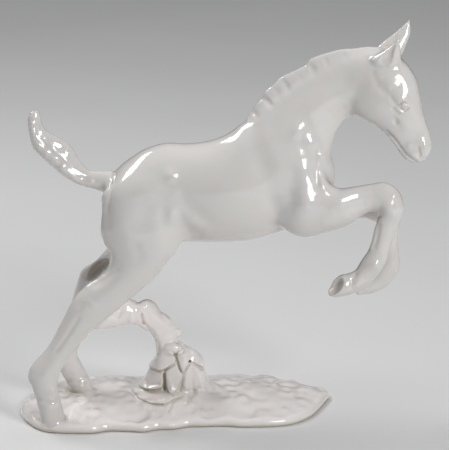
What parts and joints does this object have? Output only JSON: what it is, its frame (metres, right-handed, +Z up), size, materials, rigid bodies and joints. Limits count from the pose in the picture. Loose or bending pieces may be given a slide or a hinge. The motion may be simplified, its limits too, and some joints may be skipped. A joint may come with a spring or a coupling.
{
  "type": "foal figurine",
  "caption": "Leaping foal ornament in white glazed porcelain on an oval ground base, propped at the hocks by a rooted branch and stump.",
  "frame": {"origin": "under the middle of the figurine's bounding box, on the plane that the base stands on", "axes": "+X the way the foal faces, +Y to the foal's left, +Z up"},
  "size_m": [0.2325, 0.0917, 0.2275],
  "materials": {
    "foal_glaze": "clear gloss glaze over white porcelain",
    "ground_glaze": "clear gloss glaze over brushed white porcelain",
    "luting_slip": "fired casting slip, unglazed inside the joints"
  },
  "bodies": {
    "root": {"bark_stub": "ground_glaze", "base_slab": "ground_glaze", "branch_prop": "ground_glaze", "ear_left": "foal_glaze", "ear_right": "foal_glaze", "foreleg_left": "foal_glaze", "foreleg_right": "foal_glaze", "head_shell": "foal_glaze", "hindleg_left": "foal_glaze", "hindleg_right": "foal_glaze", "leaf_curled": "ground_glaze", "leaf_front": "ground_glaze", "neck_shell": "foal_glaze", "rock_left": "ground_glaze", "rock_right": "ground_glaze", "slip_foreleg_left": "luting_slip", "slip_foreleg_right": "luting_slip", "slip_head": "luting_slip", "slip_hindleg_left": "luting_slip", "slip_hindleg_right": "luting_slip", "slip_hoof_left": "luting_slip", "slip_hoof_right": "luting_slip", "slip_neck": "luting_slip", "stump": "ground_glaze", "tail": "foal_glaze", "torso_shell": "foal_glaze"}
  },
  "joints": []
}
